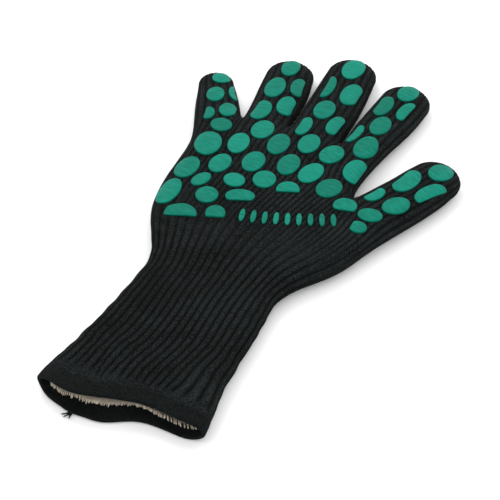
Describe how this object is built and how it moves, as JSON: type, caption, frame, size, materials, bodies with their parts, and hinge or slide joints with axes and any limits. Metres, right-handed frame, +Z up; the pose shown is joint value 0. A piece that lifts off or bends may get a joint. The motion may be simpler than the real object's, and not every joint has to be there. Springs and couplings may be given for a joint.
{
  "type": "heat resistant glove",
  "caption": "Long-cuff knit oven and grill glove lying palm up, with silicone grip dots on the palm side, a ribbed cuff, a hem band and a full cotton liner; wrist, fingers and thumb bend.",
  "frame": {"origin": "on the surface the glove lies on, under the middle of its plan", "axes": "+Y from the cuff's mouth to the middle fingertip, +Z up out of the palm, +X to the thumb side"},
  "size_m": [0.2042, 0.3595, 0.0179],
  "materials": {
    "shell_knit": "matte rib knit",
    "hem_knit": "matte flat knit",
    "silicone": "satin",
    "liner_knit": "soft cotton knit",
    "thread": "matte yarn"
  },
  "bodies": {
    "palm": {"palm_grip_bars": "silicone", "palm_grip_dots": "silicone", "palm_liner": "liner_knit", "palm_shell": "shell_knit"},
    "cuff": {"cuff_liner": "liner_knit", "cuff_shell": "shell_knit", "hem_band": "hem_knit", "hem_seam_thread": "thread", "liner_edge_stitches": "thread", "yarn_tail": "thread"},
    "little_base": {"little_base_grip_dots": "silicone", "little_base_liner": "liner_knit", "little_base_shell": "shell_knit"},
    "little_tip": {"little_tip_grip_dots": "silicone", "little_tip_liner": "liner_knit", "little_tip_shell": "shell_knit"},
    "ring_base": {"ring_base_grip_dots": "silicone", "ring_base_liner": "liner_knit", "ring_base_shell": "shell_knit"},
    "ring_tip": {"ring_tip_grip_dots": "silicone", "ring_tip_liner": "liner_knit", "ring_tip_shell": "shell_knit"},
    "middle_base": {"middle_base_grip_dots": "silicone", "middle_base_liner": "liner_knit", "middle_base_shell": "shell_knit"},
    "middle_tip": {"middle_tip_grip_dots": "silicone", "middle_tip_liner": "liner_knit", "middle_tip_shell": "shell_knit"},
    "index_base": {"index_base_grip_dots": "silicone", "index_base_liner": "liner_knit", "index_base_shell": "shell_knit"},
    "index_tip": {"index_tip_grip_dots": "silicone", "index_tip_liner": "liner_knit", "index_tip_shell": "shell_knit"},
    "thumb_base": {"thumb_base_grip_dots": "silicone", "thumb_base_liner": "liner_knit", "thumb_base_shell": "shell_knit"},
    "thumb_tip": {"thumb_tip_grip_dots": "silicone", "thumb_tip_liner": "liner_knit", "thumb_tip_shell": "shell_knit"}
  },
  "joints": [
    {"name": "wrist_fold", "type": "hinge", "parent": "palm", "child": "cuff", "pos_m": [-0.01032, -0.06345, 0.018], "axis": [-1, 0, 0], "range_deg": [0, 60]},
    {"name": "little_knuckle_bend", "type": "hinge", "parent": "palm", "child": "little_base", "pos_m": [-0.07032, 0.08555, 0.018], "axis": [0.9781, 0.2079, 0], "range_deg": [0, 75]},
    {"name": "little_middle_bend", "type": "hinge", "parent": "little_base", "child": "little_tip", "pos_m": [-0.08247, 0.10143, 0.018], "axis": [0.9781, 0.2079, 0], "range_deg": [0, 90]},
    {"name": "ring_knuckle_bend", "type": "hinge", "parent": "palm", "child": "ring_base", "pos_m": [-0.04332, 0.09555, 0.018], "axis": [0.9994, 0.0349, 0], "range_deg": [0, 75]},
    {"name": "ring_middle_bend", "type": "hinge", "parent": "ring_base", "child": "ring_tip", "pos_m": [-0.04543, 0.12648, 0.018], "axis": [0.9994, 0.0349, 0], "range_deg": [0, 90]},
    {"name": "middle_knuckle_bend", "type": "hinge", "parent": "palm", "child": "middle_base", "pos_m": [-0.00432, 0.09705, 0.018], "axis": [0.9994, 0.0349, 0], "range_deg": [0, 75]},
    {"name": "middle_middle_bend", "type": "hinge", "parent": "middle_base", "child": "middle_tip", "pos_m": [-0.00617, 0.135, 0.018], "axis": [0.9994, 0.0349, 0], "range_deg": [0, 90]},
    {"name": "index_knuckle_bend", "type": "hinge", "parent": "palm", "child": "index_base", "pos_m": [0.03168, 0.09805, 0.018], "axis": [0.9994, 0.0349, 0], "range_deg": [0, 75]},
    {"name": "index_middle_bend", "type": "hinge", "parent": "index_base", "child": "index_tip", "pos_m": [0.03532, 0.12883, 0.018], "axis": [0.9994, 0.0349, 0], "range_deg": [0, 90]},
    {"name": "thumb_knuckle_bend", "type": "hinge", "parent": "palm", "child": "thumb_base", "pos_m": [0.06468, 0.04405, 0.018], "axis": [0.9135, -0.4067, 0], "range_deg": [0, 55]},
    {"name": "thumb_middle_bend", "type": "hinge", "parent": "thumb_base", "child": "thumb_tip", "pos_m": [0.07609, 0.06629, 0.018], "axis": [0.9135, -0.4067, 0], "range_deg": [0, 70]}
  ]
}
